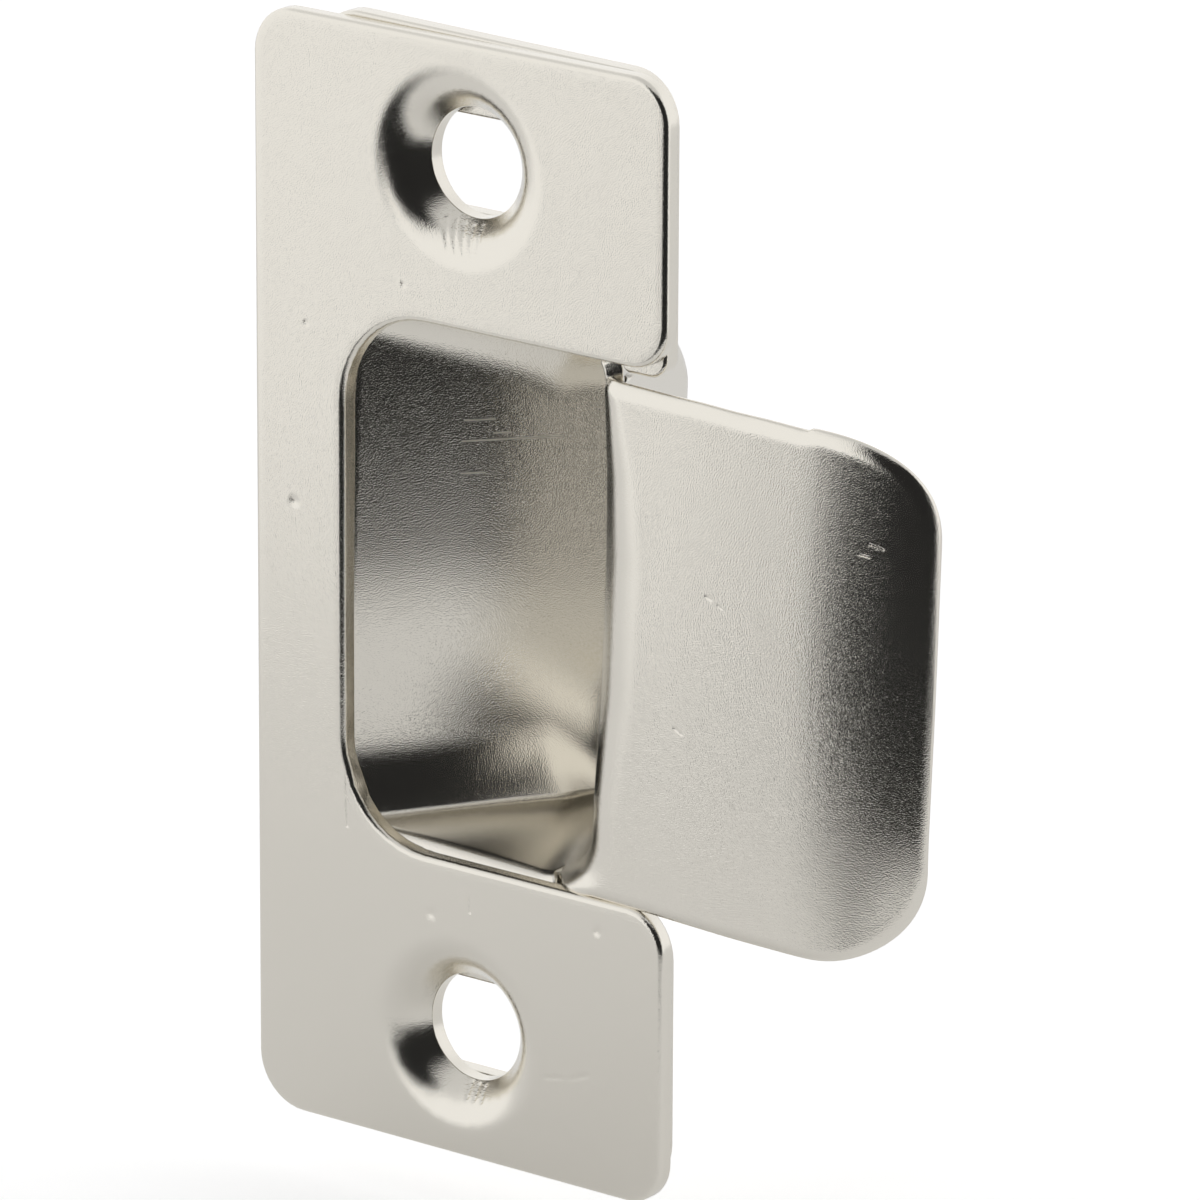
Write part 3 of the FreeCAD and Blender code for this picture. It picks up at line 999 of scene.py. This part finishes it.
    def add_lip(self, skin: Skin) -> np.ndarray:
        """Carry the return wall round its bend, and add the lip; returns the grid before its lean."""
        pocket = self.pocket
        columns = np.arange(pocket.lip_bottom, pocket.ear_top + 1)
        away = np.tile([1.0, 0.0, 0.0], (len(columns), 1))
        heights, radii = zip(*self.lip.bend_radii)
        radius = np.interp(pocket.ring(pocket.wall_depth)[columns, 2], heights, radii)
        samples = self.bend_samples
        grid = self.forward_paths(columns, away, 0.0, radius)
        on_lip = pocket.lip_top - pocket.lip_bottom + 1
        grid[0, :, 1] = 0.0
        bent = grid[:, :on_lip]
        flats = []
        for share in np.linspace(0.0, 1.0, 7)[:-1]:
            row = bent[0].copy()
            row[:, 0] = self.lip.seam + (bent[0, :, 0] - self.lip.seam) * share
            flats.append(row)
        seam = flats[0].copy()
        face = np.concatenate([np.stack(flats), bent])
        skin.add_grid(self.leaned(self.rolled(face, samples + len(flats))))
        skin.add_grid(self.leaned(grid[samples:, on_lip - 1:]))
        self.add_free_end(skin, seam)
        return grid

    def rolled(self, face: np.ndarray, foot: int) -> np.ndarray:
        """Roll back the upper and lower edges of a grid of the lip's face, fading out past a row."""
        down = np.gradient(face, axis=0)
        up = np.gradient(face, axis=1)
        normal = np.cross(up, down)
        normal /= np.maximum(np.linalg.norm(normal, axis=2), 1e-9)[..., None]
        height = face[..., 2]
        roll = self.lip.roll(height[:, -1:] - height, height) + self.lip.roll(height - height[:, :1], height)
        fade = np.clip((foot + 1 - np.arange(len(face))) / 5.0, 0.0, 1.0)[:, None]
        return face - normal * (roll * fade)[..., None]

    def add_free_end(self, skin: Skin, seam: np.ndarray) -> None:
        """Add the lip beyond the seam, with its round corners."""
        free = self.lip.outline(seam[0, 2], seam[-1, 2], self.rim.front_radius)
        left = np.stack([seam[::-1, 0], seam[::-1, 2]], axis=1)
        outer = np.concatenate([free[:-1], left[:-1]])
        edge = self.lip.outline(seam[0, 2], seam[-1, 2], self.rim.front_radius, 0.1)
        loose = []
        for depth in (0.12, 0.26, 0.42, 0.62, 0.86):
            ring = inset_loop(outer, depth)
            loose.append(ring[ring[:, 0] > self.lip.seam + 0.5 * depth])
        loose += [mark.points() for mark in LIP_MARKS]
        flat, faces = triangulate(outer, [], [], 0.5, np.concatenate(loose))
        placed = self.lip.place(flat)
        angle = self.lip.angle(flat[:, 0])
        roll = self.lip.roll(distance_to_points(flat, edge), flat[:, 1])
        roll += marked(LIP_MARKS, flat)
        roll[np.abs(flat[:, 0] - self.lip.seam) < 1e-6] = self.seam_roll(flat, seam)
        placed += roll[:, None] * np.stack([-np.sin(angle), np.cos(angle), np.zeros(len(angle))], axis=1)
        skin.add(self.leaned(placed), faces)

    def seam_roll(self, flat: np.ndarray, seam: np.ndarray) -> np.ndarray:
        """Roll of the points on the seam, the same as in the bent grid."""
        z = flat[np.abs(flat[:, 0] - self.lip.seam) < 1e-6, 1]
        return self.lip.roll(seam[-1, 2] - z, z) + self.lip.roll(z - seam[0, 2], z)

    def add_plate(self, skin: Skin, mouth: np.ndarray) -> None:
        """Add the flat plate round the mouth, with its troughs and slots."""
        inset = self.rim.front_radius
        seam = mouth[::-1][:, [0, 2]]
        outline = rounded_outline([
            Corner(self.left + inset, self.bottom + inset, self.corner),
            Corner(self.right - inset, self.bottom + inset, self.corner),
            Corner(self.right - inset, seam[0, 1] + 0.1, 2.6),
            Corner(seam[0, 0] + 0.3, seam[0, 1] + 0.25),
            Corner(self.ear_left + inset, seam[-1, 1] + 0.4),
            Corner(self.ear_left + inset, self.ear_bottom + inset, 0.3),
            Corner(self.right - inset, self.ear_bottom + inset, 0.8),
            Corner(self.right - inset, self.top_right - inset, self.corner),
            Corner(self.left + inset, self.top_left - inset, self.corner)], 0.5)
        bite = int(np.argmin(np.hypot(outline[:, 0] - seam[0, 0] - 0.3, outline[:, 1] - seam[0, 1] - 0.25)))
        after = int(np.argmin(np.hypot(outline[:, 0] - self.ear_left - inset, outline[:, 1] - seam[-1, 1] - 0.4)))
        outer = np.concatenate([outline[:bite + 1], seam, outline[after:]])
        holes = [trough.slot(inset) for trough in self.troughs]
        rings = [ring for trough in self.troughs for ring in trough.rings()]
        flat, faces = triangulate(outer, holes, rings, 0.9)
        depth = sum(trough.depth_at(flat) for trough in self.troughs)
        points = np.stack([flat[:, 0], self.pocket.plane + depth, flat[:, 1]], axis=1)
        skin.add(points, faces)


# Finish

@dataclass(frozen=True)
class NickelFinish:
    """Satin nickel plate: a warm grey mirror broken up by a fine grain."""

    name: str
    colour: tuple[float, float, float] = (0.82, 0.787, 0.715)
    roughness: float = 0.155
    roughness_spread: float = 0.03
    grain_scale: float = 17000.0
    grain_height: float = 0.007
    scratches: tuple[tuple[float, float, float], ...] = ()
    scratch_width: float = 0.04
    scratch_roughness: float = 0.55

    def material(self) -> bpy.types.Material:
        """Build the material."""
        made = bpy.data.materials.new(self.name)
        made.use_nodes = True
        nodes = made.node_tree.nodes
        links = made.node_tree.links
        shader = nodes["Principled BSDF"]
        shader.inputs["Base Color"].default_value = (*self.colour, 1.0)
        shader.inputs["Metallic"].default_value = 1.0
        place = nodes.new("ShaderNodeTexCoord")
        grain = nodes.new("ShaderNodeTexNoise")
        grain.inputs["Scale"].default_value = self.grain_scale
        grain.inputs["Detail"].default_value = 0.0
        links.new(place.outputs["Object"], grain.inputs["Vector"])
        bump = nodes.new("ShaderNodeBump")
        bump.inputs["Strength"].default_value = 1.0
        bump.inputs["Distance"].default_value = self.grain_height * MM
        links.new(grain.outputs["Fac"], bump.inputs["Height"])
        links.new(bump.outputs["Normal"], shader.inputs["Normal"])
        spread = nodes.new("ShaderNodeMapRange")
        spread.inputs["To Min"].default_value = self.roughness - self.roughness_spread
        spread.inputs["To Max"].default_value = self.roughness + self.roughness_spread
        links.new(grain.outputs["Fac"], spread.inputs["Value"])
        scratched = nodes.new("ShaderNodeMix")
        scratched.data_type = "FLOAT"
        scratched.inputs["B"].default_value = self.scratch_roughness
        links.new(spread.outputs["Result"], scratched.inputs["A"])
        links.new(scratched.outputs["Result"], shader.inputs["Roughness"])
        share = scratched.inputs["Factor"]
        share.default_value = 0.0
        if self.scratches:
            links.new(self.scratch_share(made, place.outputs["Object"]), share)
        return made

    def scratch_share(self, material: bpy.types.Material, place: bpy.types.NodeSocket) -> bpy.types.NodeSocket:
        """Add nodes that give 1 on the scratches, which are level lines, and 0 elsewhere.

        Args:
            material: The material.
            place: Socket with the place in the part's frame, in metres.

        Returns:
            The socket with the share.
        """
        nodes = material.node_tree.nodes
        links = material.node_tree.links
        split = nodes.new("ShaderNodeSeparateXYZ")
        links.new(place, split.inputs["Vector"])
        total = None
        for middle, height, half in self.scratches:
            along = nodes.new("ShaderNodeMath")
            along.operation = "COMPARE"
            along.inputs[1].default_value = middle * MM
            along.inputs[2].default_value = half * MM
            links.new(split.outputs["X"], along.inputs[0])
            across = nodes.new("ShaderNodeMath")
            across.operation = "COMPARE"
            across.inputs[1].default_value = height * MM
            across.inputs[2].default_value = self.scratch_width * MM
            links.new(split.outputs["Z"], across.inputs[0])
            both = nodes.new("ShaderNodeMath")
            both.operation = "MULTIPLY"
            links.new(along.outputs["Value"], both.inputs[0])
            links.new(across.outputs["Value"], both.inputs[1])
            if total is not None:
                summed = nodes.new("ShaderNodeMath")
                summed.operation = "MAXIMUM"
                links.new(total, summed.inputs[0])
                links.new(both.outputs["Value"], summed.inputs[1])
                both = summed
            total = both.outputs["Value"]
        return total


# Studio

@dataclass
class Studio:
    """A pale round floor and soft white light, with one dark flag in front for the metal to show."""

    azimuth: float = 37.31
    elevation: float = 17.60
    roll: float = 0.27
    lens: float = 304.6
    distance: float = 491.1
    target_x: float = 8.82
    target_z: float = 2.14
    floor_z: float = -31.5
    floor_centre: tuple[float, float] = (-78.0, 229.0)
    floor_radius: float = 300.0
    floor_colour: float = 0.86
    floor_glow: float = 0.12
    floor_lift: float = 0.45
    flag_left_low: tuple[float, float] = (-38.5, -25.0)
    flag_left_shift: float = 27.0
    flag_left_bend: tuple[float, float] = (-15.0, -9.0)
    flag_right: tuple[float, float] = (98.0, 74.0)
    flag_top: tuple[float, float] = (66.0, 44.0)
    flag_level: float = 0.02
    levels: tuple[tuple[float, float], ...] = (
        (-90.0, 0.68), (-40.0, 0.70), (-24.0, 0.82), (-18.0, 1.00), (-12.0, 1.08), (0.0, 1.13),
        (26.0, 1.12), (36.0, 1.00), (46.0, 0.85), (58.0, 0.70), (90.0, 0.64))

    def floor(self) -> None:
        """Lay a pale round floor just under the part, a little brighter to the camera."""
        bpy.ops.mesh.primitive_circle_add(
            vertices=128, radius=self.floor_radius * MM, fill_type="NGON",
            location=(self.floor_centre[0] * MM, self.floor_centre[1] * MM, self.floor_z * MM))
        made = bpy.context.object
        made.name = "floor"
        material = bpy.data.materials.new("floor_white")
        material.use_nodes = True
        nodes = material.node_tree.nodes
        shader = nodes["Principled BSDF"]
        shader.inputs["Base Color"].default_value = (*[self.floor_colour] * 3, 1.0)
        shader.inputs["Roughness"].default_value = 1.0
        shader.inputs["Specular IOR Level"].default_value = 0.0
        shader.inputs["Emission Color"].default_value = (1.0, 1.0, 1.0, 1.0)
        path = nodes.new("ShaderNodeLightPath")
        glow = nodes.new("ShaderNodeMapRange")
        glow.inputs["To Min"].default_value = self.floor_glow
        glow.inputs["To Max"].default_value = self.floor_lift
        material.node_tree.links.new(path.outputs["Is Camera Ray"], glow.inputs["Value"])
        material.node_tree.links.new(glow.outputs["Result"], shader.inputs["Emission Strength"])
        made.data.materials.append(material)

    def camera(self) -> None:
        """Place the camera at the photograph's viewing angle."""
        data = bpy.data.cameras.new("camera")
        data.lens = self.lens
        data.sensor_width = 36.0
        data.clip_start = 0.01
        made = bpy.data.objects.new("camera", data)
        bpy.context.scene.collection.objects.link(made)
        az = radians(self.azimuth)
        el = radians(self.elevation)
        back = Vector((sin(az) * cos(el), -cos(az) * cos(el), sin(el)))
        right = Vector((cos(az), sin(az), 0.0))
        up = back.cross(right)
        turn = radians(self.roll)
        rolled_right = cos(turn) * right + sin(turn) * up
        rolled_up = -sin(turn) * right + cos(turn) * up
        place = (Vector((self.target_x, 0.0, self.target_z)) + back * self.distance) * MM
        axes = Matrix((rolled_right, rolled_up, back)).transposed()
        made.matrix_world = Matrix.Translation(place) @ axes.to_4x4()
        bpy.context.scene.camera = made

    def world(self) -> None:
        """Surround the part with light that varies by height, and a dark flag in front of it."""
        world = bpy.data.worlds.new("studio")
        bpy.context.scene.world = world
        world.use_nodes = True
        nodes = world.node_tree.nodes
        links = world.node_tree.links
        place = nodes.new("ShaderNodeTexCoord")
        split = nodes.new("ShaderNodeSeparateXYZ")
        links.new(place.outputs["Generated"], split.inputs["Vector"])
        forward = self._math(world, "MULTIPLY", split.outputs["Y"], -1.0)
        azimuth = self._math(world, "ARCTAN2", split.outputs["X"], forward)
        azimuth = self._math(world, "MULTIPLY", azimuth, 180.0 / pi)
        elevation = self._math(world, "ARCSINE", split.outputs["Z"])
        elevation = self._math(world, "MULTIPLY", elevation, 180.0 / pi)
        level = self._ramp(world, elevation)
        lean = self._step(world, elevation, *self.flag_left_bend)
        lean = self._math(world, "MULTIPLY", lean, self.flag_left_shift)
        flag = self._step(world, self._math(world, "SUBTRACT", azimuth, lean), *self.flag_left_low)
        flag = self._math(world, "MULTIPLY", flag, self._step(world, azimuth, *self.flag_right))
        flag = self._math(world, "MULTIPLY", flag, self._step(world, elevation, *self.flag_top))
        shade = nodes.new("ShaderNodeMix")
        shade.data_type = "FLOAT"
        shade.inputs["B"].default_value = self.flag_level
        links.new(flag, shade.inputs["Factor"])
        links.new(level, shade.inputs["A"])
        path = nodes.new("ShaderNodeLightPath")
        seen = nodes.new("ShaderNodeMix")
        seen.data_type = "FLOAT"
        seen.inputs["B"].default_value = 1.0
        links.new(path.outputs["Is Camera Ray"], seen.inputs["Factor"])
        links.new(shade.outputs["Result"], seen.inputs["A"])
        background = nodes["Background"]
        links.new(seen.outputs["Result"], background.inputs["Color"])
        background.inputs["Strength"].default_value = 1.0
        world.cycles.sampling_method = "MANUAL"
        world.cycles.sample_map_resolution = 1024

    def _math(self, world: bpy.types.World, operation: str, first: bpy.types.NodeSocket,
              second: float | bpy.types.NodeSocket | None = None) -> bpy.types.NodeSocket:
        """Add a math node and return its output."""
        node = world.node_tree.nodes.new("ShaderNodeMath")
        node.operation = operation
        world.node_tree.links.new(first, node.inputs[0])
        if isinstance(second, float):
            node.inputs[1].default_value = second
        elif second is not None:
            world.node_tree.links.new(second, node.inputs[1])
        return node.outputs["Value"]

    def _step(self, world: bpy.types.World, value: bpy.types.NodeSocket, off: float,
              on: float) -> bpy.types.NodeSocket:
        """Add a smooth step from 0 at off to 1 at on."""
        node = world.node_tree.nodes.new("ShaderNodeMapRange")
        node.interpolation_type = "SMOOTHSTEP"
        node.inputs["From Min"].default_value = min(off, on)
        node.inputs["From Max"].default_value = max(off, on)
        node.inputs["To Min"].default_value = 0.0 if off < on else 1.0
        node.inputs["To Max"].default_value = 1.0 if off < on else 0.0
        world.node_tree.links.new(value, node.inputs["Value"])
        return node.outputs["Result"]

    def _ramp(self, world: bpy.types.World, elevation: bpy.types.NodeSocket) -> bpy.types.NodeSocket:
        """Add a curve that gives the light's level by elevation, in degrees."""
        share = self._math(world, "MULTIPLY", elevation, 1.0 / 180.0)
        share = self._math(world, "ADD", share, 0.5)
        node = world.node_tree.nodes.new("ShaderNodeValToRGB")
        ramp = node.color_ramp
        ramp.interpolation = "B_SPLINE"
        while len(ramp.elements) < len(self.levels):
            ramp.elements.new(0.5)
        for element, (degrees_up, level) in zip(ramp.elements, self.levels):
            element.position = degrees_up / 180.0 + 0.5
            element.color = (level, level, level, 1.0)
        world.node_tree.links.new(share, node.inputs["Fac"])
        return node.outputs["Color"]


def main() -> None:
    """Build the strike, dress it, and set up the studio."""
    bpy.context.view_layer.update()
    face = FacePlate().build()
    log.info("built %s", face.name)
    lip = LipPlate().build()
    log.info("built %s", lip.name)
    face.data.materials.append(NickelFinish("face_nickel_finish").material())
    lip_finish = NickelFinish("lip_nickel_finish", scratches=POCKET_SCRATCHES)
    lip.data.materials.append(lip_finish.material())
    studio = Studio()
    studio.camera()
    studio.world()
    studio.floor()
    scene = bpy.context.scene
    scene.view_settings.view_transform = "Standard"


if __name__ == "__main__":
    main()
